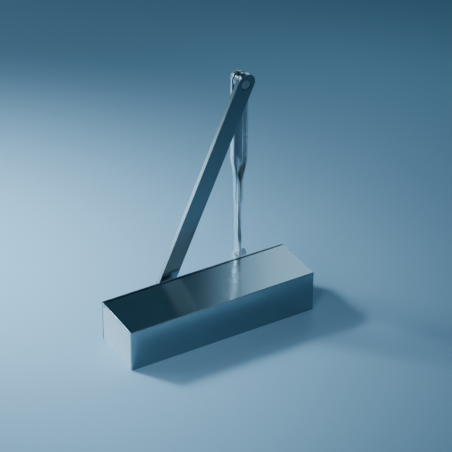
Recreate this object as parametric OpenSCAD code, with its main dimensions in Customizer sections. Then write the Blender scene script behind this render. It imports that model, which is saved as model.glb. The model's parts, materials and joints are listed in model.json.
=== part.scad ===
// Surface-mounted overhead door closer with a slim box cover and a two-piece articulated arm.
// The closer lies on its back: z = 0 is the face that goes against the door, +Z points out of
// the door, +X runs along the body and +Y is the side where the spindle carries the arm.

/* [Cover] */
// length of the cover along X
cover_length = 229; // [200:1:260]
// width of the cover along Y, rear rail included
cover_width = 67; // [60:0.5:75]
// height of the cover above the door
cover_height = 50; // [48:0.5:60]
// wall of the extruded cover
cover_wall = 2.5; // [2:0.1:3]
// outside corner radius of the extrusion
cover_corner = 1; // [0.5:0.1:2]
// wall of the end caps
cap_wall = 2.7; // [2:0.1:4]
// how far a cap sits back from the end of the extrusion
cap_inset = 0.3; // [0.1:0.1:1]
// width of the shadow gap between the cover and the rear rail
shadow_gap = 2; // [1:0.1:3]
// thickness of the rear rail
rail_wall = 1.5; // [1:0.1:3]

/* [Body] */
// thickness of the steel back plate
plate_thickness = 3; // [2:0.5:5]
// length of the cast housing
housing_length = 210; // [190:1:220]
// outer radius of the housing around its bore
housing_radius = 21.5; // [20:0.1:22]
// radius of the cylinder bore
bore_radius = 17; // [15:0.1:18]
// height of the bore axis above the door
bore_height = 25; // [24:0.5:30]
// distance between fixing holes along X
fixing_spacing_x = 196; // [180:1:200]
// distance between fixing holes along Y
fixing_spacing_y = 48; // [44:1:50]
// radius of a fixing hole
fixing_hole_radius = 3.25; // [2.5:0.05:4]

/* [Drive] */
// X of the spindle axis
spindle_x = -38.5; // [-60:0.5:-20]
// radius of the spindle journals
journal_radius = 9.5; // [8:0.1:11]
// across-flats size of the square that drives the arm
spindle_square = 11; // [9:0.5:13]
// teeth on the pinion
pinion_teeth = 12; // [11:1:16]
// tooth module of pinion and rack
tooth_module = 1.75; // [1.5:0.05:2]
// pressure angle of the teeth
pressure_angle = 25; // [20:1:28]
// thickness taken off each tooth for backlash
backlash = 0.12; // [0.05:0.01:0.3]
// radius of the wire of the closing spring
spring_wire_radius = 2.4; // [2:0.1:3]
// active and dead coils of the closing spring
spring_turns = 11; // [8:1:14]
// radial clearance of every running fit
running_gap = 0.05; // [0.02:0.01:0.1]

/* [Main arm] */
// distance from the spindle to the elbow
arm_reach = 264.1; // [200:0.1:300]
// lean of the arm from +Z towards +X
arm_lean = 23.8; // [0:0.1:60]
// width of the flat bar
arm_width = 20.6; // [16:0.1:26]
// thickness of the flat bar
arm_thickness = 6; // [4:0.5:8]
// Y of the bar's front face
arm_front = 38.5; // [36:0.5:44]
// length of the bar's round end beyond the elbow axis
arm_end_offset = 2; // [0:0.1:5]

/* [Link] */
// width of the pressed channel
link_width = 18.3; // [14:0.1:22]
// depth of the pressed channel
link_depth = 9.5; // [8:0.1:12]
// metal thickness of the channel
link_wall = 2; // [1.5:0.1:3]
// Y of the link's middle plane
link_mid = 54; // [52:0.1:58]
// distance from the elbow down to the start of the taper
link_shoulder = 103.6; // [80:0.1:120]
// distance from the elbow down to the neck
link_neck_top = 132; // [110:0.1:150]
// distance from the elbow down to the end of the neck
link_neck_end = 156.1; // [140:0.1:180]
// outer radius of the neck
neck_radius = 5.4; // [5:0.1:7]
// radius of the adjustable rod
rod_radius = 4; // [3:0.1:5]

/* [Shoe] */
// distance from the elbow down to the cross bolt
bolt_drop = 228.2; // [200:0.1:260]
// distance from the cross bolt down to the shoe pin
pin_drop = 18.5; // [14:0.1:24]
// length of the shoe's foot along X
foot_length = 46; // [36:1:60]
// thickness of the foot
foot_thickness = 3; // [2:0.5:4]
// distance between the two screw holes of the foot
foot_hole_spacing = 32; // [26:1:44]
// radius of a screw hole in the foot
foot_hole_radius = 2.6; // [2:0.1:3.5]

/* [Hidden] */
$fn = 64;
eps = 0.01;
half_l = cover_length / 2;
front_y = -cover_width / 2;
rear_y = cover_width / 2;
inner_front = front_y + cover_wall;
rail_front = rear_y - rail_wall;
panel_rear = rail_front - shadow_gap;
cap_outer = half_l - cap_inset;
cap_inner = cap_outer - cap_wall;
plate_half = cap_inner - 0.5;
lip_drop = 6;
lip_wall = 1.8;
corner_rib = 2;
cap_rib_depth = 4;
top_rib_half = 22;
plate_screw_x = 60;
plate_screw_y = 19.5;
plate_screw_radius = 2;
plate_screw_head = 4;
plate_screw_length = 10;
plate_sink = 2;
rail_screw_x = 78;
rail_screw_y = 27.5;
rail_screw_radius = 1.5;
rail_screw_head = 2.8;
rail_foot_half = 86;
rail_foot_wall = 1.5;
rail_foot_top = plate_thickness + rail_foot_wall;
rail_opening = 14;
half_h = housing_length / 2;
body_half = 22;
rail_foot_front = body_half + 0.8;
fixing_boss_radius = 6;
fixing_head_room = 5.6;
fixing_lug_half_x = 7;
fixing_lug_half_y = 24;
fixing_lug_top = 15;
plug_length = 12;
plug_inner = half_h - plug_length;
groove_x = half_h - 6;
groove_width = 2.4;
groove_depth = 2;
seal_radius = 1;
spanner_radius = 1.6;
spanner_depth = 3;
spanner_offset = 11;
boss_radius = 16;
boss_low = -29.5;
boss_high = 31;
bearing_outer = 13;
bearing_in = 17.5;
bearing_out = 25.5;
seal_out = 29;
gland_out = 33;
pitch_radius = pinion_teeth * tooth_module / 2;
base_radius = pitch_radius * cos(pressure_angle);
tip_radius = pitch_radius + tooth_module;
tooth_root = 1.25 * tooth_module;
root_radius = pitch_radius - tooth_root;
tooth_pitch = PI * tooth_module;
tooth_thick = tooth_pitch / 2 - backlash;
rack_line = bore_height - pitch_radius;
rack_tip = rack_line + tooth_module;
rack_root = rack_line - tooth_root;
pinion_half = 15.5;
piston_radius = bore_radius - running_gap;
piston_left = -86;
window_left = -72.5;
window_right = -25.5;
piston_right = -9.5;
check_radius = 3.2;
check_bore = 1.2;
check_z = bore_height + 6;
window_top = 38.5;
seat_front = 80;
seat_back = 85;
seat_boss_end = 90;
seat_boss_radius = 8;
adjuster_radius = 4;
adjuster_head = 6.5;
valve_radius = 2.75;
valve_y = -25.75;
valve_floor = 18;
valve_tip = 18.2;
valve_shank = 19.5;
rib_left = -86;
rib_right = -2;
rib_front = -30;
rib_back = -20;
rib_top = 34;
valve_x = [-76, -64, -12];
elbow_x = spindle_x + arm_reach * sin(arm_lean);
elbow_z = bore_height + arm_reach * cos(arm_lean);
arm_back = arm_front + arm_thickness;
hub_back = arm_back + 3;
hub_radius = 13;
arm_washer_radius = 9;
arm_washer_back = hub_back + 1.5;
arm_screw_radius = 3;
arm_screw_head = 5.5;
arm_screw_floor = 28;
pin_radius = 4;
head_recess = 2;
head_radius = 5.3;
elbow_boss_radius = 9.1;
elbow_bush_radius = 6.2;
elbow_washer_radius = 7.5;
rivet_radius = 5.6;
boss_end = arm_back + 7.25;
link_front = link_mid - link_depth / 2;
link_back = link_mid + link_depth / 2;
washer_back = link_back + 1.1;
web_front = link_back - link_wall;
rim_front = link_back - 5.3;
neck_end_z = elbow_z - link_neck_end;
neck_top_z = elbow_z - link_neck_top;
shoulder_z = elbow_z - link_shoulder;
rod_bore_top = neck_end_z + 40.4;
relief_radius = 9.8;
relief_drop = 17;
rolled_wall = 1.4;
slit_half = 0.5;
rod_top_z = neck_end_z + 14.4;
bolt_z = elbow_z - bolt_drop;
flat_half = 1.75;
flat_width = 12;
flat_top_z = bolt_z + 12;
round_z = bolt_z + 37.5;
bolt_radius = 3;
bolt_head_radius = 4.5;
bolt_head_length = 3.5;
nut_flats = 9;
nut_length = 3.8;
lug_x0 = elbow_x + flat_half + 0.1;
lug_x1 = lug_x0 + 3.5;
shoe_z = bolt_z - pin_drop;
barrel_radius = 5.5;
barrel_half = 4.5;
shoe_pin_radius = 3;
shoe_pin_head = 4.6;
ear_foot_half = 8;
ear_gap = barrel_half + 0.3;
ear_out = ear_gap + 3;
foot_top = shoe_z - 9;
foot_bottom = foot_top - foot_thickness;

// ---------- helpers ----------

// solid cylinder along X at height z
module bar_x(r, x0, x1, y = 0, z = bore_height) {
    translate([x0, y, z])
        rotate([0, 90, 0])
            cylinder(r = r, h = x1 - x0);
}

// solid cylinder along Y
module bar_y(r, y0, y1, x = spindle_x, z = bore_height) {
    translate([x, y1, z])
        rotate([90, 0, 0])
            cylinder(r = r, h = y1 - y0);
}

// 2D shape in the X-Z plane, as thick as y0 to y1
module slab_xz(y0, y1) {
    translate([0, y1, 0])
        rotate([90, 0, 0])
            linear_extrude(height = y1 - y0)
                children();
}

// 2D shape in the Y-Z plane, as thick as x0 to x1
module slab_yz(x0, x1) {
    translate([x0, 0, 0])
        rotate([90, 0, 90])
            linear_extrude(height = x1 - x0)
                children();
}

// box from two corners
module block(a, b) {
    translate(a)
        cube(b - a);
}

// hexagon prism along the module's Z
module hex(flats, h) {
    linear_extrude(height = h)
        circle(r = flats / 2 / cos(30), $fn = 6);
}

// ---------- cover ----------

module cover_section() {
    difference() {
        union() {
            translate([front_y, 0])
                square([cover_wall, cover_height]);
            translate([front_y, cover_height - cover_wall])
                square([panel_rear - front_y, cover_wall]);
            translate([panel_rear - lip_wall, cover_height - lip_drop])
                square([lip_wall, lip_drop]);
            translate([inner_front - eps, cover_height - cover_wall - corner_rib])
                square([corner_rib, corner_rib + eps]);
        }
        difference() {
            translate([front_y - eps, cover_height - cover_corner])
                square(cover_corner + eps);
            translate([front_y + cover_corner, cover_height - cover_corner])
                circle(r = cover_corner);
        }
    }
}

module cover_profile() {
    color("silver")
        slab_yz(-half_l, half_l)
            cover_section();
}

module end_cap_plate() {
    difference() {
        block([cap_inner, inner_front, 0.5], [cap_outer, rail_front - 0.3, cover_height - cover_wall]);
        block([cap_inner - 1, panel_rear - lip_wall, cover_height - lip_drop],
            [cap_outer + 1, panel_rear, cover_height]);
        block([cap_inner - 1, inner_front - 1, cover_height - cover_wall - corner_rib],
            [cap_outer + 1, inner_front + corner_rib, cover_height]);
    }
}

// ribs that locate a cap inside the extrusion, clear of the body
module end_cap_ribs() {
    block([cap_inner - cap_rib_depth, inner_front, 8], [cap_inner + eps, inner_front + 1, 40]);
    block([cap_inner - cap_rib_depth, -top_rib_half, cover_height - cover_wall - 1.2],
        [cap_inner + eps, top_rib_half, cover_height - cover_wall]);
}

module end_cap_right() {
    color("gainsboro") {
        end_cap_plate();
        end_cap_ribs();
    }
}

module end_cap_left() {
    color("gainsboro")
        mirror([1, 0, 0]) {
            end_cap_plate();
            end_cap_ribs();
        }
}

// ---------- plate, rail and housing ----------

module at_fixings() {
    for (sx = [-1, 1])
        for (sy = [-1, 1])
            translate([sx * fixing_spacing_x / 2, sy * fixing_spacing_y / 2, 0])
                children();
}

module at_plate_screws() {
    for (sx = [-1, 1])
        for (sy = [-1, 1])
            translate([sx * plate_screw_x, sy * plate_screw_y, 0])
                children();
}

module at_rail_screws() {
    for (x = [-rail_screw_x, 0, rail_screw_x])
        translate([x, rail_screw_y, 0])
            children();
}

module back_plate() {
    color("slategray")
        difference() {
            block([-plate_half, inner_front + 0.5, 0], [plate_half, rail_front, plate_thickness]);
            at_fixings()
                translate([0, 0, -1])
                    cylinder(r = fixing_hole_radius, h = plate_thickness + 2);
            at_plate_screws() {
                translate([0, 0, -1])
                    cylinder(r = plate_screw_radius, h = plate_thickness + 2);
                translate([0, 0, -1])
                    cylinder(r1 = plate_screw_head + 1, r2 = plate_screw_radius, h = plate_sink + 1);
            }
            at_rail_screws()
                translate([0, 0, 1])
                    cylinder(r = rail_screw_radius, h = plate_thickness);
        }
}

module top_rail() {
    color("silver")
        difference() {
            union() {
                block([-half_l, rail_front, 0], [half_l, rear_y, cover_height]);
                block([-rail_foot_half, rail_foot_front, plate_thickness],
                    [rail_foot_half, rail_front + eps, rail_foot_top]);
            }
            bar_y(rail_opening, rail_front - 1, rear_y + 1);
            at_rail_screws()
                cylinder(r = rail_screw_radius, h = rail_foot_top + 1);
        }
}

module rail_screws() {
    color("lightsteelblue")
        at_rail_screws()
            difference() {
                union() {
                    translate([0, 0, 1])
                        cylinder(r = rail_screw_radius, h = rail_foot_top - 1);
                    translate([0, 0, rail_foot_top])
                        cylinder(r = rail_screw_head, h = 1.8);
                }
                translate([-0.4, -4, rail_foot_top + 1])
                    cube([0.8, 8, 2]);
            }
}

module plate_screws() {
    color("lightsteelblue")
        at_plate_screws()
            difference() {
                union() {
                    cylinder(r1 = plate_screw_head, r2 = plate_screw_radius, h = plate_sink);
                    translate([0, 0, plate_sink - eps])
                        cylinder(r = plate_screw_radius, h = plate_screw_length);
                }
                translate([0, 0, -eps])
                    rotate([0, 0, 30])
                        hex(2.5, 1.4);
            }
}

module housing_solid() {
    block([-half_h, -body_half, plate_thickness], [half_h, body_half, bore_height]);
    bar_x(housing_radius, -half_h, half_h);
    bar_y(boss_radius, boss_low, boss_high);
    block([rib_left, rib_front, plate_thickness], [rib_right, rib_back, rib_top]);
    at_fixings()
        translate([0, 0, plate_thickness])
            cylinder(r = fixing_boss_radius, h = fixing_lug_top - plate_thickness);
    for (x = [-fixing_spacing_x / 2, fixing_spacing_x / 2])
        block([x - fixing_lug_half_x, -fixing_lug_half_y, plate_thickness],
            [x + fixing_lug_half_x, fixing_lug_half_y, fixing_lug_top]);
}

module housing() {
    color("darkgray")
        difference() {
            housing_solid();
            bar_x(bore_radius, -half_h - 1, half_h + 1);
            bar_y(bearing_outer, -bearing_out, boss_high + 1);
            bar_y(bearing_outer, boss_low - 1, -bearing_out + 1);
            at_fixings()
                translate([0, 0, 1])
                    cylinder(r = fixing_hole_radius, h = 20);
            at_fixings()
                translate([0, 0, fixing_lug_top])
                    cylinder(r = fixing_head_room, h = 30);
            at_plate_screws()
                cylinder(r = plate_screw_radius, h = plate_sink + plate_screw_length);
            for (x = valve_x)
                translate([x, valve_y, valve_floor])
                    cylinder(r = valve_radius + running_gap, h = 20);
        }
}

// ---------- closures of the housing ----------

module end_plug_solid() {
    difference() {
        bar_x(bore_radius, plug_inner, half_h);
        translate([groove_x, 0, bore_height])
            rotate([0, 90, 0])
                rotate_extrude()
                    translate([bore_radius - groove_depth, 0])
                        square([2 * groove_depth, groove_width]);
    }
}

module seal_ring_shape() {
    translate([groove_x + groove_width / 2, 0, bore_height])
        rotate([0, 90, 0])
            rotate_extrude()
                translate([bore_radius - seal_radius, 0])
                    circle(r = seal_radius, $fn = 24);
}

module end_plug_right() {
    color("dimgray")
        difference() {
            end_plug_solid();
            bar_x(adjuster_radius + running_gap, plug_inner - 1, half_h + 1);
            for (a = [0, 180])
                translate([0, 0, bore_height])
                    rotate([a + 90, 0, 0])
                        bar_x(spanner_radius, half_h - spanner_depth, half_h + 1, spanner_offset, 0);
        }
}

module end_plug_left() {
    color("dimgray")
        mirror([1, 0, 0])
            difference() {
                end_plug_solid();
                translate([half_h - 3.5, 0, bore_height])
                    rotate([0, 90, 0])
                        hex(12, 5);
            }
}

module seal_ring_right() {
    color("black")
        seal_ring_shape();
}

module seal_ring_left() {
    color("black")
        mirror([1, 0, 0])
            seal_ring_shape();
}

module tube_y(r_out, r_in, y0, y1, x = spindle_x, z = bore_height) {
    difference() {
        bar_y(r_out, y0, y1, x, z);
        bar_y(r_in, y0 - 1, y1 + 1, x, z);
    }
}

module bearing_upper() {
    color("gray")
        tube_y(bearing_outer, journal_radius + running_gap, bearing_in, bearing_out);
}

module bearing_lower() {
    color("gray")
        tube_y(bearing_outer, journal_radius + running_gap, -bearing_out, -bearing_in);
}

module shaft_seal() {
    color("black")
        tube_y(bearing_outer, journal_radius + running_gap, bearing_out, seal_out);
}

module spindle_gland() {
    color("dimgray")
        tube_y(bearing_outer, journal_radius + 0.4, seal_out, gland_out);
}

module spindle_end_cap() {
    color("dimgray")
        difference() {
            bar_y(bearing_outer, boss_low, -bearing_out);
            translate([spindle_x, boss_low + 2, bore_height])
                rotate([90, 0, 0])
                    hex(10, 4);
        }
}

// ---------- valves ----------

module valve_screw(x) {
    translate([x, valve_y, 0])
        difference() {
            union() {
                translate([0, 0, valve_shank])
                    cylinder(r = valve_radius, h = rib_top + 1 - valve_shank);
                translate([0, 0, valve_tip])
                    cylinder(r1 = 1.2, r2 = valve_radius, h = valve_shank - valve_tip + eps);
            }
            translate([-0.5, -4, rib_top - 0.4])
                cube([1, 8, 2]);
        }
}

module closing_valve() {
    color("goldenrod")
        valve_screw(valve_x[0]);
}

module latching_valve() {
    color("goldenrod")
        valve_screw(valve_x[1]);
}

module backcheck_valve() {
    color("goldenrod")
        valve_screw(valve_x[2]);
}

// ---------- rack and pinion ----------

// involute of an angle, in degrees
function inv(a) = tan(a) * 180 / PI - a;

// half of a tooth's angle at radius r, in degrees
function tooth_half(r) =
    tooth_thick / pitch_radius * 90 / PI + inv(pressure_angle) - inv(acos(min(1, base_radius / r)));

flank_steps = 6;
flank_radii = [for (i = [0:flank_steps]) base_radius + (tip_radius - base_radius) * i / flank_steps];

function polar(r, a) = [r * cos(a), r * sin(a)];

function tooth_points(c) = concat(
    [polar(root_radius, c - tooth_half(base_radius))],
    [for (i = [0:flank_steps]) polar(flank_radii[i], c - tooth_half(flank_radii[i]))],
    [for (i = [flank_steps:-1:0]) polar(flank_radii[i], c + tooth_half(flank_radii[i]))],
    [polar(root_radius, c + tooth_half(base_radius))]
);

module pinion_shape() {
    polygon([
        for (i = [0:pinion_teeth - 1])
            for (p = tooth_points(-90 + 360 / pinion_teeth * i))
                p
    ]);
}

module rack_tooth(x) {
    sunk = 0.3;
    foot = tooth_thick / 2 + (tooth_root + sunk) * tan(pressure_angle);
    tip = tooth_thick / 2 - tooth_module * tan(pressure_angle);
    polygon([
        [x - foot, rack_root - sunk],
        [x + foot, rack_root - sunk],
        [x + tip, rack_tip],
        [x - tip, rack_tip]
    ]);
}

module piston() {
    color("gray") {
        difference() {
            bar_x(piston_radius, piston_left, piston_right);
            block([window_left, -30, rack_root], [window_right, 30, window_top]);
            bar_x(check_radius, piston_right - 10, piston_right + 1, 0, check_z);
        }
        intersection() {
            bar_x(piston_radius, window_left, window_right);
            slab_xz(-20, 20)
                for (i = [-6:1])
                    rack_tooth(spindle_x + (i + 0.5) * tooth_pitch);
        }
    }
}

module check_valve() {
    color("goldenrod")
        difference() {
            bar_x(check_radius, piston_right - 9, piston_right - 1, 0, check_z);
            bar_x(check_bore, piston_right - 10, piston_right + 1, 0, check_z);
        }
}

// ---------- closing spring ----------

coil_segments = 20;
wire_sides = 8;
coil_radius = bore_radius - 1 - spring_wire_radius;
coil_start = piston_right + spring_wire_radius + 0.1;
coil_end = seat_front - spring_wire_radius - 0.1;
dead_pitch = 2 * spring_wire_radius + 0.2;
live_length = coil_end - coil_start - 2 * dead_pitch;
coil_count = spring_turns * coil_segments;

// X of the wire's centre after t turns
function coil_x(t) =
    t < 1 ? coil_start + t * dead_pitch :
    t > spring_turns - 1 ? coil_end - (spring_turns - t) * dead_pitch :
    coil_start + dead_pitch + (t - 1) / (spring_turns - 2) * live_length;

coil_points = [
    for (i = [0:coil_count])
        for (j = [0:wire_sides - 1])
            let (
                a = 360 * i / coil_segments,
                b = 360 * j / wire_sides,
                r = coil_radius + spring_wire_radius * cos(b)
            )
            [
                coil_x(i / coil_segments) + spring_wire_radius * sin(b),
                r * cos(a),
                bore_height + r * sin(a)
            ]
];

coil_faces = concat(
    [
        for (i = [0:coil_count - 1])
            for (j = [0:wire_sides - 1])
                let (k = (j + 1) % wire_sides)
                [
                    i * wire_sides + j,
                    i * wire_sides + k,
                    (i + 1) * wire_sides + k,
                    (i + 1) * wire_sides + j
                ]
    ],
    [[for (j = [wire_sides - 1:-1:0]) j]],
    [[for (j = [0:wire_sides - 1]) coil_count * wire_sides + j]]
);

module closing_spring() {
    color("steelblue")
        polyhedron(points = coil_points, faces = coil_faces, convexity = 10);
}

module spring_seat() {
    color("dimgray")
        difference() {
            union() {
                bar_x(piston_radius, seat_front, seat_back);
                bar_x(seat_boss_radius, seat_back - eps, seat_boss_end);
            }
            bar_x(adjuster_radius + running_gap, seat_front + 1.5, seat_boss_end + 1);
        }
}

module force_adjuster() {
    color("lightsteelblue")
        difference() {
            union() {
                bar_x(adjuster_radius, seat_back + 2, half_h + 0.3);
                bar_x(adjuster_head, half_h + 0.3 - eps, half_h + 4);
            }
            translate([half_h + 1.5, 0, bore_height])
                rotate([0, 90, 0])
                    hex(5, 5);
        }
}

// ---------- spindle and main arm ----------

module spindle() {
    color("lightgray")
        difference() {
            union() {
                bar_y(journal_radius, -bearing_out + 0.3, -pinion_half);
                translate([spindle_x, 0, bore_height])
                    slab_xz(-pinion_half, pinion_half)
                        pinion_shape();
                bar_y(journal_radius, pinion_half, arm_front);
                translate([spindle_x, 0, bore_height])
                    slab_xz(arm_front - eps, hub_back - 0.2)
                        rotate(-arm_lean)
                            square(spindle_square, center = true);
            }
            bar_y(arm_screw_radius, arm_screw_floor, hub_back + 1);
        }
}

// the bar's outline, with the spindle at the origin and the elbow on +Y of the 2D shape
module arm_outline() {
    circle(r = arm_width / 2);
    translate([-arm_width / 2, 0])
        square([arm_width, arm_reach + arm_end_offset]);
    translate([0, arm_reach + arm_end_offset])
        circle(r = arm_width / 2);
}

module main_arm() {
    color("silver")
        difference() {
            translate([spindle_x, 0, bore_height]) {
                slab_xz(arm_front, arm_back)
                    rotate(-arm_lean)
                        arm_outline();
                slab_xz(arm_front, hub_back)
                    circle(r = hub_radius);
            }
            translate([spindle_x, 0, bore_height])
                slab_xz(arm_front - 1, hub_back + 1)
                    rotate(-arm_lean)
                        square(spindle_square, center = true);
            bar_y(pin_radius, arm_front - 1, arm_back + 1, elbow_x, elbow_z);
            bar_y(head_radius + 0.6, arm_front - 1, arm_front + head_recess, elbow_x, elbow_z);
        }
}

module arm_washer() {
    color("lightsteelblue")
        tube_y(arm_washer_radius, arm_screw_radius, hub_back, arm_washer_back);
}

module arm_screw() {
    color("lightsteelblue")
        difference() {
            union() {
                bar_y(arm_screw_radius, arm_screw_floor + 0.5, arm_washer_back);
                bar_y(arm_screw_head, arm_washer_back, arm_washer_back + 5);
            }
            translate([spindle_x, arm_washer_back + 5.5, bore_height])
                rotate([90, 0, 0])
                    hex(5, 3.5);
        }
}

// ---------- elbow ----------

module elbow_pin() {
    color("lightgray") {
        bar_y(head_radius, arm_front + 0.5, arm_front + head_recess, elbow_x, elbow_z);
        bar_y(pin_radius, arm_front + head_recess - eps, washer_back + 0.1, elbow_x, elbow_z);
        bar_y(rivet_radius, washer_back, washer_back + 1.7, elbow_x, elbow_z);
    }
}

module elbow_boss() {
    color("silver")
        tube_y(elbow_boss_radius, pin_radius, arm_back, boss_end, elbow_x, elbow_z);
}

module elbow_bush() {
    color("dimgray")
        tube_y(elbow_bush_radius, pin_radius, boss_end, web_front - 0.1, elbow_x, elbow_z);
}

module elbow_washer() {
    color("lightsteelblue")
        tube_y(elbow_washer_radius, pin_radius, link_back + 0.1, washer_back, elbow_x, elbow_z);
}

// ---------- link ----------

// outline of the round-headed part, w less than its outer half width
module head_outline(w) {
    half = link_width / 2 - w;
    translate([elbow_x, elbow_z])
        circle(r = half);
    translate([elbow_x - half, shoulder_z])
        square([2 * half, link_shoulder]);
}

// taper from one half width at the shoulder to another at the neck
module taper(top_half, low_half) {
    polygon([
        [elbow_x - top_half, shoulder_z + eps],
        [elbow_x + top_half, shoulder_z + eps],
        [elbow_x + low_half, neck_top_z - eps],
        [elbow_x - low_half, neck_top_z - eps]
    ]);
}

module link_cavity() {
    slab_xz(link_front - 1, web_front)
        head_outline(link_wall);
    slab_xz(link_front + rolled_wall, web_front)
        taper(link_width / 2 - link_wall, rod_radius);
    slab_xz(link_front - 1, link_front + rolled_wall + eps)
        taper(link_width / 2 - link_wall, slit_half);
}

// the flanges are low around the elbow and rise to full depth below it
module head_relief() {
    bar_y(relief_radius, link_front - 5, rim_front, elbow_x, elbow_z);
    slab_yz(elbow_x - link_width, elbow_x + link_width)
        polygon([
            [link_front - 5, elbow_z + link_width],
            [rim_front, elbow_z + link_width],
            [rim_front, elbow_z - relief_radius],
            [link_front, elbow_z - relief_drop],
            [link_front - 5, elbow_z - relief_drop]
        ]);
}

module link_arm() {
    color("silver")
        difference() {
            union() {
                slab_xz(link_front, link_back) {
                    head_outline(0);
                    taper(link_width / 2, neck_radius);
                }
                translate([elbow_x, link_mid, neck_end_z])
                    cylinder(r = neck_radius, h = neck_top_z - neck_end_z + 2);
            }
            link_cavity();
            head_relief();
            bar_y(pin_radius + running_gap, web_front - 1, link_back + 1, elbow_x, elbow_z);
            translate([elbow_x, link_mid, neck_end_z - 1])
                cylinder(r = rod_radius + running_gap, h = rod_bore_top - neck_end_z + 1);
            block([elbow_x - slit_half, link_front - 3, neck_end_z - 1],
                [elbow_x + slit_half, link_mid, neck_top_z + 1]);
        }
}

// ---------- rod and shoe ----------

module rod_transition() {
    intersection() {
        slab_xz(link_mid - 10, link_mid + 10)
            polygon([
                [elbow_x - rod_radius - 0.4, round_z + 1],
                [elbow_x - flat_half, flat_top_z],
                [elbow_x - flat_half, flat_top_z - 2],
                [elbow_x + flat_half, flat_top_z - 2],
                [elbow_x + flat_half, flat_top_z],
                [elbow_x + rod_radius + 0.4, round_z + 1]
            ]);
        translate([elbow_x, link_mid, flat_top_z - 1])
            cylinder(r1 = flat_width / 2 + 0.2, r2 = rod_radius, h = round_z - flat_top_z + 1);
    }
}

module link_rod() {
    color("lightsteelblue")
        difference() {
            union() {
                translate([elbow_x, link_mid, round_z - eps])
                    cylinder(r = rod_radius, h = rod_top_z - round_z);
                rod_transition();
                slab_yz(elbow_x - flat_half, elbow_x + flat_half) {
                    translate([link_mid, bolt_z])
                        circle(r = flat_width / 2);
                    translate([link_mid - flat_width / 2, bolt_z])
                        square([flat_width, flat_top_z - bolt_z - 0.5]);
                }
            }
            bar_x(bolt_radius + running_gap, elbow_x - 6, elbow_x + 6, link_mid, bolt_z);
        }
}

module shoe_knuckle() {
    color("gray")
        difference() {
            union() {
                slab_yz(lug_x0, lug_x1) {
                    translate([link_mid, bolt_z])
                        circle(r = barrel_half);
                    translate([link_mid - barrel_half, shoe_z])
                        square([2 * barrel_half, pin_drop]);
                }
                bar_y(barrel_radius, link_mid - barrel_half, link_mid + barrel_half, elbow_x, shoe_z);
            }
            bar_x(bolt_radius, lug_x0 - 1, lug_x1 + 1, link_mid, bolt_z);
            bar_y(shoe_pin_radius + running_gap, link_mid - 8, link_mid + 8, elbow_x, shoe_z);
        }
}

module cross_bolt() {
    head_x1 = elbow_x - flat_half - 0.1;
    color("lightsteelblue")
        difference() {
            union() {
                bar_x(bolt_head_radius, head_x1 - bolt_head_length, head_x1, link_mid, bolt_z);
                bar_x(bolt_radius, head_x1 - eps, lug_x1 + nut_length + 0.8, link_mid, bolt_z);
            }
            block([head_x1 - 4, link_mid - 6, bolt_z - 0.6], [head_x1 - 2.3, link_mid + 6, bolt_z + 0.6]);
        }
}

module cross_nut() {
    color("lightsteelblue")
        difference() {
            translate([lug_x1, link_mid, bolt_z])
                rotate([0, 90, 0])
                    hex(nut_flats, nut_length);
            bar_x(bolt_radius, lug_x1 - 1, lug_x1 + 6, link_mid, bolt_z);
        }
}

module shoe_ear(y0, y1) {
    slab_xz(y0, y1) {
        translate([elbow_x, shoe_z])
            circle(r = barrel_radius);
        polygon([
            [elbow_x - barrel_radius, shoe_z],
            [elbow_x + barrel_radius, shoe_z],
            [elbow_x + ear_foot_half, foot_top - eps],
            [elbow_x - ear_foot_half, foot_top - eps]
        ]);
    }
}

module frame_shoe() {
    color("gray")
        difference() {
            union() {
                shoe_ear(link_mid - ear_out, link_mid - ear_gap);
                shoe_ear(link_mid + ear_gap, link_mid + ear_out);
                block([elbow_x - foot_length / 2, link_mid - ear_out, foot_bottom],
                    [elbow_x + foot_length / 2, link_mid + ear_out, foot_top]);
            }
            bar_y(shoe_pin_radius, link_mid - 20, link_mid + 20, elbow_x, shoe_z);
            for (s = [-1, 1])
                translate([elbow_x + s * foot_hole_spacing / 2, link_mid, foot_bottom - 1])
                    cylinder(r = foot_hole_radius, h = foot_thickness + 2);
        }
}

module shoe_pin() {
    color("lightsteelblue") {
        bar_y(shoe_pin_radius, link_mid - ear_out, link_mid + ear_out + 0.8, elbow_x, shoe_z);
        bar_y(shoe_pin_head, link_mid - ear_out - 1.6, link_mid - ear_out, elbow_x, shoe_z);
    }
}

// ---------- output ----------

cover_profile();
end_cap_left();
end_cap_right();
back_plate();
top_rail();
rail_screws();
plate_screws();
housing();
end_plug_left();
end_plug_right();
seal_ring_left();
seal_ring_right();
bearing_upper();
bearing_lower();
shaft_seal();
spindle_gland();
spindle_end_cap();
closing_valve();
latching_valve();
backcheck_valve();
piston();
check_valve();
closing_spring();
spring_seat();
force_adjuster();
spindle();
main_arm();
arm_washer();
arm_screw();
elbow_pin();
elbow_boss();
elbow_bush();
elbow_washer();
link_arm();
link_rod();
shoe_knuckle();
cross_bolt();
cross_nut();
frame_shoe();
shoe_pin();
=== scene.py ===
import json
import math
import bmesh
import bpy
from mathutils import Matrix, Vector


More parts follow.
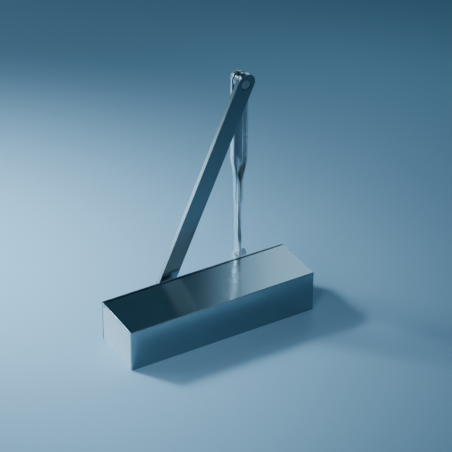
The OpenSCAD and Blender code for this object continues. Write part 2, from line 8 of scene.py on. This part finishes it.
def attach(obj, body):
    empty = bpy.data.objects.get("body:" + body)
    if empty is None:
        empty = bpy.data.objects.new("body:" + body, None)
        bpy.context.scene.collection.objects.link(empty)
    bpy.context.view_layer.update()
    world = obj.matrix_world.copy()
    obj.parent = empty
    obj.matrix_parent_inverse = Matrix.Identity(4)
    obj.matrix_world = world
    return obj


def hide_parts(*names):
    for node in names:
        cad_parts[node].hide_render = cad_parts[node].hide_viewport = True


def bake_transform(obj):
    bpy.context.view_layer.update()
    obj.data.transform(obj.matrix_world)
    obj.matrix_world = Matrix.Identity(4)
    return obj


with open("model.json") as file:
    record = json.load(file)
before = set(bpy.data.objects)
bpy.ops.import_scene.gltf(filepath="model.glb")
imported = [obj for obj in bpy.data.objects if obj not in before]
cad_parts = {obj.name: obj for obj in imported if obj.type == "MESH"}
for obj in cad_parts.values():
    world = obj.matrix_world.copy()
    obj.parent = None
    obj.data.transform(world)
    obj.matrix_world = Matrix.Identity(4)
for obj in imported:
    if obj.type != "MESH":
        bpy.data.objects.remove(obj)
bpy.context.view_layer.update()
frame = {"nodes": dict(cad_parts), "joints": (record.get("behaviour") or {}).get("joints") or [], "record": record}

# ---------- places and sizes ----------

# The joints' places, in metres.
MM = 0.001
JOINT_AT = {joint["name"]: Vector(joint["pos_m"]) for joint in frame["joints"] if "pos_m" in joint}
SPINDLE = JOINT_AT["spindle_turn"]
ELBOW = JOINT_AT["elbow_turn"]
BOLT = JOINT_AT["shoe_tilt"]
LEAN = math.atan2(ELBOW.x - SPINDLE.x, ELBOW.z - SPINDLE.z)

# From here on in millimetres, as are all mesh drawings. First the link: a pressed channel with a
# dished round head, which tapers below its shoulder and is rolled into a neck.
LINK_X, LINK_Y, ELBOW_Z = ELBOW.x / MM, ELBOW.y / MM, ELBOW.z / MM
NECK_END = ELBOW_Z - 156.1
NECK_TOP = ELBOW_Z - 132
TAPER_TOP = ELBOW_Z - 102.6
LINK_HALF = 9.15
LINK_DEPTH = 4.75
SHEET = 2.0
BEND = 2.2
PIN_HOLE = 4.05
# The flanges are low round the elbow and reach full depth between RISE_TOP and RISE_END.
HEAD_RIM = -0.55
RISE_TOP = ELBOW_Z - 10.2
RISE_END = RISE_TOP - 7.5
# The sheet starts to roll at ROLL_TOP and is a thinner, slit tube from ROLL_END down.
ROLL_TOP = 172
ROLL_END = 151
ROLLED_SHEET = 1.35
ROLL_RADIUS = 4.74
SLIT_HALF = 0.5
RIM_ROUND = 0.4
NECK_ROUND = 0.3
# Painted shade inside the channel fades in between these heights.
PAINTED_SHADE_FROM, PAINTED_SHADE_FULL = 140, 160

# The rod: round at the top, pressed flat for the cross bolt.
BOLT_Z = BOLT.z / MM
ROD_RADIUS = 4
ROD_ROUND = 0.8
ROD_TOP = NECK_END + 14.4
ROUND_FROM = BOLT_Z + 37
FLAT_TOP = BOLT_Z + 11
FLAT_HALF = 1.75
FLAT_DEPTH = 6
FLAT_CORNER = 0.5
BOLT_HOLE = 3.05

# The closing spring, between the piston and the spring seat, with one closed turn at each end.
AXIS_Z = SPINDLE.z / MM
PISTON_FACE, SEAT_FACE = -9.5, 80
WIRE_RADIUS = 2.4
COIL_RADIUS = 13.6
COIL_START = PISTON_FACE + WIRE_RADIUS + 0.1
COIL_END = SEAT_FACE - WIRE_RADIUS - 0.1
DEAD_PITCH = 5.0
TURNS = 11
SPLIT_TURN = 9.5


# ---------- node helpers ----------

def new_material(name):
    mat = bpy.data.materials.new(name)
    mat.use_nodes = True
    tree = mat.node_tree
    tree.nodes.clear()
    out = tree.nodes.new("ShaderNodeOutputMaterial")
    shader = tree.nodes.new("ShaderNodeBsdfPrincipled")
    tree.links.new(shader.outputs["BSDF"], out.inputs["Surface"])
    return mat, tree, shader


def noise(tree, scale, detail, rough, rotation=(0, 0, 0)):
    """Noise in object coordinates, which are the row frame's own; scale is one number or one per axis."""
    where = tree.nodes.new("ShaderNodeTexCoord")
    mapping = tree.nodes.new("ShaderNodeMapping")
    mapping.vector_type = "POINT"
    mapping.inputs["Rotation"].default_value = rotation
    tree.links.new(where.outputs["Object"], mapping.inputs["Vector"])
    stretch = tree.nodes.new("ShaderNodeVectorMath")
    stretch.operation = "MULTIPLY"
    stretch.inputs[1].default_value = scale if isinstance(scale, tuple) else (scale, scale, scale)
    tree.links.new(mapping.outputs["Vector"], stretch.inputs[0])
    node = tree.nodes.new("ShaderNodeTexNoise")
    node.inputs["Scale"].default_value = 1.0
    node.inputs["Detail"].default_value = detail
    node.inputs["Roughness"].default_value = rough
    tree.links.new(stretch.outputs["Vector"], node.inputs["Vector"])
    return node.outputs["Fac"]


def remap(tree, value, low, high, from_low=0.3, from_high=0.7):
    """Runs from low to high; the defaults are the range that a noise really covers."""
    node = tree.nodes.new("ShaderNodeMapRange")
    node.inputs["From Min"].default_value = from_low
    node.inputs["From Max"].default_value = from_high
    node.inputs["To Min"].default_value = low
    node.inputs["To Max"].default_value = high
    tree.links.new(value, node.inputs["Value"])
    return node.outputs["Result"]


def math_node(tree, operation, a, b):
    node = tree.nodes.new("ShaderNodeMath")
    node.operation = operation
    for socket, value in zip(node.inputs, (a, b)):
        if isinstance(value, (int, float)):
            socket.default_value = value
        else:
            tree.links.new(value, socket)
    return node.outputs["Value"]


def weigh(tree, a, b, share):
    """a and b together, with that share of a and the rest of b."""
    return math_node(tree, "ADD", math_node(tree, "MULTIPLY", a, share),
                     math_node(tree, "MULTIPLY", b, 1 - share))


def paint(tree, shader, factor, dark, light):
    """Base colour that goes from dark to light with a noise."""
    node = tree.nodes.new("ShaderNodeMix")
    node.data_type = "RGBA"
    node.inputs["A"].default_value = (*dark, 1)
    node.inputs["B"].default_value = (*light, 1)
    tree.links.new(remap(tree, factor, 0, 1), node.inputs["Factor"])
    tree.links.new(node.outputs["Result"], shader.inputs["Base Color"])


def gloss(tree, shader, factor, low, high):
    """Roughness that goes from low to high with a noise."""
    tree.links.new(remap(tree, factor, low, high), shader.inputs["Roughness"])


def bump(tree, shader, height, strength, distance):
    node = tree.nodes.new("ShaderNodeBump")
    node.inputs["Strength"].default_value = strength
    node.inputs["Distance"].default_value = distance
    tree.links.new(height, node.inputs["Height"])
    tree.links.new(node.outputs["Normal"], shader.inputs["Normal"])


def shade(colour, factor):
    return tuple(max(0.0, min(1.0, c * factor)) for c in colour)


# ---------- materials: noise scales are per metre, so 1500 gives grains of about 0.7 mm ----------

def brushed_metal(name, colour, grain, rough, spread, tone, depth, cloud=20, metallic=1.0,
                  rotation=(0, 0, 0)):
    """Metal with a fine directional grain, soft tonal clouds and uneven gloss."""
    mat, tree, shader = new_material(name)
    lines = noise(tree, grain, 5.0, 0.6, rotation)
    clouds = noise(tree, cloud, 3.0, 0.5)
    both = weigh(tree, lines, clouds, 0.6)
    paint(tree, shader, both, shade(colour, 1 - tone), shade(colour, 1 + tone))
    gloss(tree, shader, both, rough - spread, rough + spread)
    shader.inputs["Metallic"].default_value = metallic
    bump(tree, shader, lines, 0.35, depth)
    return mat


def paint_channel_shade(mat):
    """Painted shade on the inside of the pressed channel: base colour darkened between its flanges, in front of
    its web.
    """
    tree = mat.node_tree
    shader = next(n for n in tree.nodes if n.type == "BSDF_PRINCIPLED")
    where = tree.nodes.new("ShaderNodeTexCoord")
    split = tree.nodes.new("ShaderNodeSeparateXYZ")
    tree.links.new(where.outputs["Object"], split.inputs[0])
    flange = (LINK_HALF - SHEET) * MM
    web = ELBOW.y + (LINK_DEPTH - SHEET) * MM
    across = math_node(tree, "ABSOLUTE", math_node(tree, "SUBTRACT", split.outputs["X"], ELBOW.x), 0)
    inside = remap(tree, across, 1, 0, flange - 1.35 * MM, flange - 0.15 * MM)
    ahead = remap(tree, split.outputs["Y"], 1, 0, web + 0.15 * MM, web + 0.45 * MM)
    above = remap(tree, split.outputs["Z"], 0, 1, PAINTED_SHADE_FROM * MM, PAINTED_SHADE_FULL * MM)
    painted_shade_mask = math_node(tree, "MULTIPLY", math_node(tree, "MULTIPLY", inside, ahead), above)
    painted_shade = tree.nodes.new("ShaderNodeVectorMath")
    painted_shade.operation = "SCALE"
    before = shader.inputs["Base Color"].links[0].from_socket
    tree.links.new(before, painted_shade.inputs[0])
    # Painted shade: the base colour falls to 0.45 of itself where the mask is full.
    tree.links.new(remap(tree, painted_shade_mask, 1.0, 0.45, 0, 1), painted_shade.inputs["Scale"])
    tree.links.new(painted_shade.outputs["Vector"], shader.inputs["Base Color"])
    return mat


def cast_metal(name, colour, rough):
    """Shot-blasted casting: pitted, mottled, matt."""
    mat, tree, shader = new_material(name)
    pits = noise(tree, 1500, 6.0, 0.65)
    patches = noise(tree, 90, 4.0, 0.6)
    paint(tree, shader, weigh(tree, pits, patches, 0.45), shade(colour, 0.8), shade(colour, 1.15))
    gloss(tree, shader, patches, rough - 0.08, rough + 0.12)
    shader.inputs["Metallic"].default_value = 0.9
    bump(tree, shader, pits, 0.6, 0.12 * MM)
    return mat


def turned_metal(name, colour, rough):
    """Machined steel or brass: a fine tooled surface and a light oil film."""
    mat, tree, shader = new_material(name)
    tooling = noise(tree, 2600, 2.0, 0.4)
    film = noise(tree, 140, 4.0, 0.6)
    paint(tree, shader, film, shade(colour, 0.86), shade(colour, 1.08))
    gloss(tree, shader, film, rough - 0.06, rough + 0.1)
    shader.inputs["Metallic"].default_value = 1.0
    bump(tree, shader, tooling, 0.3, 0.02 * MM)
    return mat


def lacquer(name, colour, rough):
    """Fine matt silver lacquer with an orange-peel surface and metal flake."""
    mat, tree, shader = new_material(name)
    flake = noise(tree, 5200, 2.0, 0.5)
    peel = noise(tree, 1300, 3.0, 0.5)
    clouds = noise(tree, 45, 3.0, 0.5)
    paint(tree, shader, weigh(tree, flake, clouds, 0.5), shade(colour, 0.93), shade(colour, 1.06))
    gloss(tree, shader, clouds, rough - 0.05, rough + 0.05)
    shader.inputs["Metallic"].default_value = 0.35
    bump(tree, shader, peel, 0.4, 0.05 * MM)
    return mat


def rubber(name):
    """Smooth black rubber with a faint grey bloom."""
    mat, tree, shader = new_material(name)
    fine = noise(tree, 1800, 5.0, 0.6)
    bloom = noise(tree, 120, 4.0, 0.6)
    paint(tree, shader, bloom, (0.018, 0.018, 0.019), (0.05, 0.05, 0.052))
    gloss(tree, shader, bloom, 0.5, 0.72)
    bump(tree, shader, fine, 0.4, 0.05 * MM)
    return mat


def make_materials():
    """One material for each slot of the record. A grain runs along the axis with the low number."""
    return {
        "satin_aluminium": brushed_metal("satin_aluminium", (0.34, 0.395, 0.43), (25, 3200, 3200),
                                         rough=0.2, spread=0.018, tone=0.045, depth=0.02 * MM, cloud=25),
        "rail_aluminium": brushed_metal("rail_aluminium", (0.48, 0.54, 0.58), (25, 3200, 3200),
                                        rough=0.27, spread=0.015, tone=0.03, depth=0.01 * MM),
        "cap_silver": lacquer("cap_silver", (0.62, 0.66, 0.70), rough=0.38),
        "arm_steel": brushed_metal("arm_steel", (0.27, 0.31, 0.335), (2600, 2600, 18), rough=0.26,
                                   spread=0.02, tone=0.03, depth=0.003 * MM, rotation=(0, -LEAN, 0)),
        # link_steel carries painted shade inside its channel, darker between the flanges in front of the web.
        "link_steel": paint_channel_shade(
            brushed_metal("link_steel", (0.72, 0.78, 0.82), (1500, 1500, 90), rough=0.27,
                          spread=0.012, tone=0.02, depth=0.003 * MM, metallic=0.8)),
        "zinc_steel": brushed_metal("zinc_steel", (0.83, 0.87, 0.90), (2200, 2200, 900), rough=0.24,
                                    spread=0.03, tone=0.05, depth=0.004 * MM, metallic=0.84),
        "machined_steel": turned_metal("machined_steel", (0.55, 0.56, 0.58), rough=0.28),
        "dark_steel": turned_metal("dark_steel", (0.2, 0.21, 0.23), rough=0.36),
        "spring_steel": turned_metal("spring_steel", (0.26, 0.29, 0.34), rough=0.3),
        "valve_brass": turned_metal("valve_brass", (0.72, 0.53, 0.24), rough=0.24),
        "cast_housing": cast_metal("cast_housing", (0.52, 0.53, 0.55), rough=0.55),
        "seal_rubber": rubber("seal_rubber"),
    }


MATERIALS = make_materials()
SLOTS = {p["node"]: p["material_slot"] for p in frame["record"]["subparts"]}


def finish_piece(obj, slot_name):
    obj.data.materials.clear()
    obj.data.materials.append(MATERIALS[slot_name])


# ---------- mesh helpers ----------

def smooth_faces(mesh):
    for face in mesh.polygons:
        face.use_smooth = True


def even_normals(obj):
    """A modifier that keeps flats flat under smooth shading."""
    level = obj.modifiers.new("flats", "WEIGHTED_NORMAL")
    level.mode = "FACE_AREA"
    level.weight = 80


def soften(obj, width):
    """Modifiers that join a CAD mesh's faces, merge those in one plane and round its sharp edges."""
    join = obj.modifiers.new("weld", "WELD")
    join.merge_threshold = 0.002 * MM
    flat = obj.modifiers.new("plain_faces", "DECIMATE")
    flat.decimate_type = "DISSOLVE"
    flat.angle_limit = math.radians(0.3)
    edge = obj.modifiers.new("edges", "BEVEL")
    edge.width = width
    edge.segments = 3
    edge.limit_method = "ANGLE"
    edge.angle_limit = math.radians(30)
    edge.use_clamp_overlap = True
    even_normals(obj)
    smooth_faces(obj.data)


def lerp(a, b, t):
    return a + (b - a) * t


def span(a, b, steps):
    """Even steps from a to b, without a itself."""
    return [lerp(a, b, i / steps) for i in range(1, steps + 1)]


def smooth_step(t):
    t = max(0.0, min(1.0, t))
    return t * t * (3 - 2 * t)


def soft_ramp(t):
    """Nearly straight from 0 to 1, with eased ends."""
    return 0.5 * max(0.0, min(1.0, t)) + 0.5 * smooth_step(t)


def new_piece(name, bm, slot_name, body=None):
    """Turns a bmesh in millimetres into a finished piece in metres, which rides on body if there is one."""
    bmesh.ops.remove_doubles(bm, verts=bm.verts, dist=0.0005)
    bmesh.ops.dissolve_degenerate(bm, edges=bm.edges, dist=0.0005)
    bmesh.ops.recalc_face_normals(bm, faces=bm.faces)
    bmesh.ops.scale(bm, vec=(MM, MM, MM), verts=bm.verts)
    mesh = bpy.data.meshes.new(name)
    bm.to_mesh(mesh)
    bm.free()
    smooth_faces(mesh)
    piece = bpy.data.objects.new(name, mesh)
    bpy.context.collection.objects.link(piece)
    finish_piece(piece, slot_name)
    if body:
        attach(piece, body)
    return piece


def skin(bm, rings, closed=True):
    """Quads between neighbouring rings of the same length; returns the rings' vertices."""
    rows = [[bm.verts.new(p) for p in ring] for ring in rings]
    count = len(rows[0])
    for low, high in zip(rows, rows[1:]):
        for i in range(count if closed else count - 1):
            k = (i + 1) % count
            bm.faces.new((low[i], low[k], high[k], high[i]))
    return rows


def cut_hole(piece, radius, start, end):
    """Drills a round hole through a piece from start to end, all in metres."""
    axis = Vector(end) - Vector(start)
    bm = bmesh.new()
    bmesh.ops.create_cone(bm, cap_ends=True, segments=64, radius1=radius, radius2=radius,
                          depth=axis.length)
    mesh = bpy.data.meshes.new("drill")
    bm.to_mesh(mesh)
    bm.free()
    drill = bpy.data.objects.new("drill", mesh)
    bpy.context.collection.objects.link(drill)
    drill.matrix_world = (Matrix.Translation((Vector(start) + Vector(end)) / 2)
                          @ axis.to_track_quat("Z", "Y").to_matrix().to_4x4())
    cut = piece.modifiers.new("hole", "BOOLEAN")
    cut.operation = "DIFFERENCE"
    cut.solver = "EXACT"
    cut.object = drill
    bpy.context.view_layer.update()
    seen = piece.evaluated_get(bpy.context.evaluated_depsgraph_get())
    result = bpy.data.meshes.new_from_object(seen)
    piece.modifiers.remove(cut)
    old = piece.data
    piece.data = result
    bpy.data.meshes.remove(old)
    bpy.data.objects.remove(drill)
    bpy.data.meshes.remove(mesh)
    smooth_faces(piece.data)


# ---------- carried-over CAD nodes ----------

REPLACED = ("link_arm", "link_rod", "closing_spring")
PLAIN_EDGE = 0.2
EDGE = {
    "cover_profile": 0.35, "end_cap_left": 0.3, "end_cap_right": 0.3, "top_rail": 0.3,
    "main_arm": 0.5, "housing": 0.8, "back_plate": 0.4, "frame_shoe": 0.5, "shoe_knuckle": 0.4,
    "elbow_pin": 0.3, "elbow_boss": 0.4,
}


def dress_nodes():
    """A material for every CAD node, and rounded edges for those that are shown."""
    for name, obj in frame["nodes"].items():
        finish_piece(obj, SLOTS[name])
        if name not in REPLACED:
            soften(obj, EDGE.get(name, PLAIN_EDGE) * MM)


# ---------- link ----------

def channel_half(rim):
    """Middle of the sheet from the web's centre to the rim, as (u, v) off the link's middle plane."""
    web_steps, bend_steps, side_steps = 8, 8, 8
    side, back = LINK_HALF - SHEET / 2, LINK_DEPTH - SHEET / 2
    points = [((side - BEND) * i / web_steps, back) for i in range(web_steps)]
    for i in range(bend_steps):
        turn = math.pi / 2 * (1 - i / bend_steps)
        points.append((side - BEND + BEND * math.cos(turn), back - BEND + BEND * math.sin(turn)))
    low = rim + RIM_ROUND
    points += [(side, lerp(back - BEND, low, i / side_steps)) for i in range(side_steps + 1)]
    return points


def roll_half(points):
    """The same points rolled into a tube with a slit at the front."""
    steps = [0.0]
    for a, b in zip(points, points[1:]):
        steps.append(steps[-1] + math.dist(a, b))
    opening = (SLIT_HALF + RIM_ROUND) / ROLL_RADIUS
    turns = [(math.pi - opening) * s / steps[-1] for s in steps]
    return [(ROLL_RADIUS * math.sin(t), ROLL_RADIUS * math.cos(t)) for t in turns]


RIM_TURNS = [math.radians(degrees) for degrees in (22.5, 48.6, 90)]


def rim_cap(end, before, outward, reach):
    """The sheet's rounded rim, from its outside to its inside."""
    along = (Vector(end) - Vector(before)).normalized()
    radius = min(RIM_ROUND, reach)
    cap = []
    for side, turns in ((1, RIM_TURNS), (-1, RIM_TURNS[::-1])):
        for turn in turns:
            forward = along * RIM_ROUND * math.sin(turn)
            cap.append(Vector(end) + forward + outward * side * (reach - radius * (1 - math.cos(turn))))
    return cap


def sheet_outline(half, wall):
    """Closed outline of the sheet from the middle line of its right half: outside, rim, inside, rim."""
    line = [(-u, v) for u, v in reversed(half[1:])] + list(half)
    normals = []
    for i in range(len(line)):
        a, b = line[max(0, i - 1)], line[min(len(line) - 1, i + 1)]
        along = Vector((b[0] - a[0], b[1] - a[1])).normalized()
        normals.append(Vector((-along.y, along.x)))
    reach = wall / 2
    outside = [Vector(p) + n * reach for p, n in zip(line, normals)]
    inside = [Vector(p) - n * reach for p, n in zip(line, normals)]
    right_rim = rim_cap(line[-1], line[-2], normals[-1], reach)
    left_rim = rim_cap(line[0], line[1], -normals[0], reach)
    return outside + right_rim + inside[::-1] + left_rim


def link_section(z, inset=0.0):
    """The link's outline at height z, its sheet thinner by inset on both faces."""
    rise = smooth_step((RISE_TOP - z) / (RISE_TOP - RISE_END))
    flat = channel_half(lerp(HEAD_RIM, -LINK_DEPTH, rise))
    rolled = roll_half(flat)
    narrow = soft_ramp((TAPER_TOP - z) / (TAPER_TOP - NECK_TOP))
    deep = smooth_step((ROLL_TOP - z) / (ROLL_TOP - ROLL_END))
    half = [(lerp(a[0], b[0], narrow), lerp(a[1], b[1], deep)) for a, b in zip(flat, rolled)]
    outline = sheet_outline(half, lerp(SHEET, ROLLED_SHEET, deep) - 2 * inset)
    return [(LINK_X + p.x, LINK_Y + p.y, z) for p in outline]


def link_levels():
    """Heights of the loft's rings, close together where the section changes."""
    first = NECK_END + 1.5
    straight_from = ROLL_TOP + 1
    return ([NECK_END + NECK_ROUND, first] + span(first, NECK_TOP, 3) + span(NECK_TOP, TAPER_TOP, 16)
            + span(TAPER_TOP, straight_from, 5) + span(straight_from, RISE_END, 4)
            + span(RISE_END, RISE_TOP, 8) + span(RISE_TOP, ELBOW_Z, 3))


def close_neck(bm, ring, line, rim):
    """Faces on the neck's end: across the sheet between outside and inside, and one at each rim."""
    opposite = 2 * line + rim - 1
    for i in range(line - 1):
        bm.faces.new((ring[i], ring[i + 1], ring[opposite - i - 1], ring[opposite - i]))
    for start in (line - 1, opposite):
        bm.faces.new([ring[(start + i) % len(ring)] for i in range(rim + 2)])


def make_link():
    """The loft runs up from the neck's end to the elbow, then round the head as a half turn."""
    rings = [link_section(NECK_END, NECK_ROUND)] + [link_section(z) for z in link_levels()]
    bm = bmesh.new()
    rows = skin(bm, rings)
    side = len(channel_half(HEAD_RIM)) - 1
    line, rim = 2 * side + 1, 2 * len(RIM_TURNS)
    close_neck(bm, rows[0], line, rim)
    right_half = rings[-1][side:side + line + rim + 1]
    head_steps = 32
    head = []
    for k in range(head_steps + 1):
        turn = math.pi * k / head_steps
        head.append([(LINK_X + (x - LINK_X) * math.cos(turn), y, z + (x - LINK_X) * math.sin(turn))
                     for x, y, z in right_half])
    skin(bm, head, closed=False)
    link = new_piece("link_channel", bm, "link_steel", "link")
    cut_hole(link, PIN_HOLE * MM, (ELBOW.x, ELBOW.y + 1 * MM, ELBOW.z), (ELBOW.x, ELBOW.y + 8 * MM, ELBOW.z))
    even_normals(link)
    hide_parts("link_arm")


# ---------- rod ----------

def rounded_box(a, b, corner, z):
    """Ring of a rounded rectangle, a by b half sizes, round the rod's axis."""
    steps = 8
    ring = []
    for sx, sy, start in ((1, 1, 0), (-1, 1, 90), (-1, -1, 180), (1, -1, 270)):
        for i in range(steps + 1):
            turn = math.radians(start + 90 * i / steps)
            ring.append((LINK_X + sx * (a - corner) + corner * math.cos(turn),
                         LINK_Y + sy * (b - corner) + corner * math.sin(turn), z))
    return ring


def rod_rings():
    """Up from the flat's round tip, through the pressed transition, to the rod's top."""
    tip_steps, press_steps, first_turn = 12, 16, math.radians(87)
    rings = []
    for i in range(tip_steps + 1):
        turn = first_turn * (1 - i / tip_steps)
        depth = FLAT_DEPTH * math.cos(turn)
        corner = min(FLAT_CORNER, depth * 0.9)
        rings.append(rounded_box(FLAT_HALF, depth, corner, BOLT_Z - FLAT_DEPTH * math.sin(turn)))
    rings.append(rounded_box(FLAT_HALF, FLAT_DEPTH, FLAT_CORNER, FLAT_TOP))
    for t in span(0, 1, press_steps):
        thick = lerp(FLAT_HALF, ROD_RADIUS, smooth_step(t))
        wide = lerp(FLAT_DEPTH, ROD_RADIUS, smooth_step(t))
        corner = lerp(FLAT_CORNER, thick, t ** 1.5)
        rings.append(rounded_box(thick, wide, corner, lerp(FLAT_TOP, ROUND_FROM, t)))
    for radius, z in ((ROD_RADIUS, ROD_TOP - ROD_ROUND), (ROD_RADIUS - ROD_ROUND, ROD_TOP)):
        rings.append(rounded_box(radius, radius, radius, z))
    return rings


def make_rod():
    bm = bmesh.new()
    rows = skin(bm, rod_rings())
    bm.faces.new(rows[0])
    bm.faces.new(rows[-1])
    rod = new_piece("rod_pressed", bm, "zinc_steel", "rod")
    aside = Vector((8 * MM, 0, 0))
    cut_hole(rod, BOLT_HOLE * MM, BOLT - aside, BOLT + aside)
    even_normals(rod)
    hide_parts("link_rod")


# ---------- closing spring ----------

def coil_x(turn):
    """X of the wire's centre: one closed turn at each end, open turns between."""
    if turn < 1:
        return COIL_START + turn * DEAD_PITCH
    if turn > TURNS - 1:
        return COIL_END - (TURNS - turn) * DEAD_PITCH
    return lerp(COIL_START + DEAD_PITCH, COIL_END - DEAD_PITCH, (turn - 1) / (TURNS - 2))


def wire_ring(turn):
    """Ring of points round the wire, that many turns along the spring."""
    sides = 14
    angle = 2 * math.pi * turn
    ring = []
    for k in range(sides):
        part = 2 * math.pi * k / sides
        reach = COIL_RADIUS + WIRE_RADIUS * math.cos(part)
        ring.append((coil_x(turn) + WIRE_RADIUS * math.sin(part),
                     reach * math.cos(angle), AXIS_Z + reach * math.sin(angle)))
    return ring


def spring_length(name, first_turn, last_turn):
    """One length of the coils, from first_turn to last_turn."""
    around = 40
    steps = range(round(first_turn * around), round(last_turn * around) + 1)
    bm = bmesh.new()
    rows = skin(bm, [wire_ring(i / around) for i in steps])
    for row in (rows[0], rows[-1]):
        cap = bm.faces.new(row)
        for edge in cap.edges:
            edge.smooth = False
    coils = new_piece(name, bm, "spring_steel")
    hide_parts("closing_spring")
    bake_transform(coils)


def make_spring():
    """The coils in two lengths: up to SPLIT_TURN, and the rest."""
    spring_length("spring_coils", 0, SPLIT_TURN)
    spring_length("spring_end_coils", SPLIT_TURN, TURNS)


# ---------- stage: sizes and places in metres, powers in watts ----------

FLOOR_SIZE = 14
FLOOR_GAP = 0.0002
FLOOR_COLOUR = (0.29, 0.43, 0.55)
SKY_COLOUR = (0.16, 0.46, 0.72)
SKY_STRENGTH = 0.15
LAMP_COLOUR = (0.56, 0.84, 1)
STRIP_COLOUR = (0.50, 0.80, 1)


def floor_paint():
    mat, tree, shader = new_material("floor_pale")
    clouds = noise(tree, 3, 2.0, 0.5)
    paint(tree, shader, clouds, shade(FLOOR_COLOUR, 0.985), FLOOR_COLOUR)
    shader.inputs["Roughness"].default_value = 0.7
    return mat


def add_floor():
    bpy.ops.mesh.primitive_plane_add(size=FLOOR_SIZE, location=(0, 0, -FLOOR_GAP))
    floor = bpy.context.object
    floor.name = "floor"
    floor.data.materials.append(floor_paint())


def area_light(name, place, target, size, power, colour=LAMP_COLOUR, spread=180):
    data = bpy.data.lights.new(name, "AREA")
    data.shape = "RECTANGLE"
    data.size, data.size_y = size
    data.energy = power
    data.color = colour
    data.spread = math.radians(spread)
    lamp = bpy.data.objects.new(name, data)
    bpy.context.collection.objects.link(lamp)
    lamp.location = place
    lamp.rotation_mode = "QUATERNION"
    lamp.rotation_quaternion = (Vector(target) - Vector(place)).to_track_quat("-Z", "Y")
    lamp.visible_camera = False


def add_strips():
    """Three strips side by side behind the body, brighter to the right, that the top face mirrors."""
    mirrored = Vector((0.418, 0.717, 0.558))
    right = Vector((0.864, -0.504, 0))
    up = right.cross(mirrored)
    centre = Vector((0, 0, 0.05))
    middle = centre + mirrored * 0.62 + up * 0.03
    height = 0.4
    for name, across, width, radiance in (
        ("strip_soft", 0.022, 0.035, 0.45),
        ("strip_half", 0.057, 0.035, 1.05),
        ("strip_full", 0.194, 0.240, 1.5),
    ):
        power = radiance * math.pi * width * height
        area_light(name, middle + right * across, centre + right * across, (width, height), power,
                   STRIP_COLOUR)


def add_lights():
    world = bpy.data.worlds.new("studio")
    bpy.context.scene.world = world
    world.use_nodes = True
    sky = world.node_tree.nodes["Background"]
    sky.inputs["Color"].default_value = (*SKY_COLOUR, 1)
    sky.inputs["Strength"].default_value = SKY_STRENGTH
    area_light("key_left", (-1.0, 0.7, 0.8), (-0.2, 0.2, 0), (0.6, 0.6), 7.5)
    area_light("pool_left", (-0.75, 1.0, 0.95), (-0.2, 0.26, 0), (0.3, 0.3), 2.4, spread=32)
    area_light("low_left", (-0.62, 0.66, 0.085), (0, 0, 0.06), (0.5, 0.15), 0.085, spread=44)
    area_light("fill_high", (0.3, -0.5, 1.7), (0, 0, 0), (0.9, 0.9), 2.0)
    area_light("front_left", (-0.5, -0.45, 0.4), (-0.15, -0.12, 0), (0.3, 0.3), 0.45, spread=70)
    area_light("front_spot", (0.32, -0.65, 0.55), (-0.02, 0.03, 0.06), (0.12, 0.12), 0.14)
    add_strips()


def add_camera():
    """The photo's view: from the front left and above, turned by azimuth, elevation and roll."""
    azimuth, elevation, roll = (math.radians(v) for v in (-30.253, 33.909, 0.319))
    distance, side, rise = 2.6555, 0.019115, 0.108234
    back = Vector((math.sin(azimuth) * math.cos(elevation),
                   -math.cos(azimuth) * math.cos(elevation), math.sin(elevation)))
    right = (-back).cross(Vector((0, 0, 1))).normalized()
    up = right.cross(-back)
    turned_right = math.cos(roll) * right + math.sin(roll) * up
    turned_up = -math.sin(roll) * right + math.cos(roll) * up
    place = back * distance + turned_right * side + turned_up * rise
    data = bpy.data.cameras.new("camera")
    data.sensor_width = 36
    data.lens = 191.15
    data.clip_start, data.clip_end = 0.05, 30
    camera = bpy.data.objects.new("camera", data)
    bpy.context.collection.objects.link(camera)
    turn = Matrix((turned_right, turned_up, back)).transposed().to_4x4()
    camera.matrix_world = Matrix.Translation(place) @ turn
    bpy.context.scene.camera = camera


dress_nodes()
make_link()
make_rod()
make_spring()
add_floor()
add_lights()
add_camera()
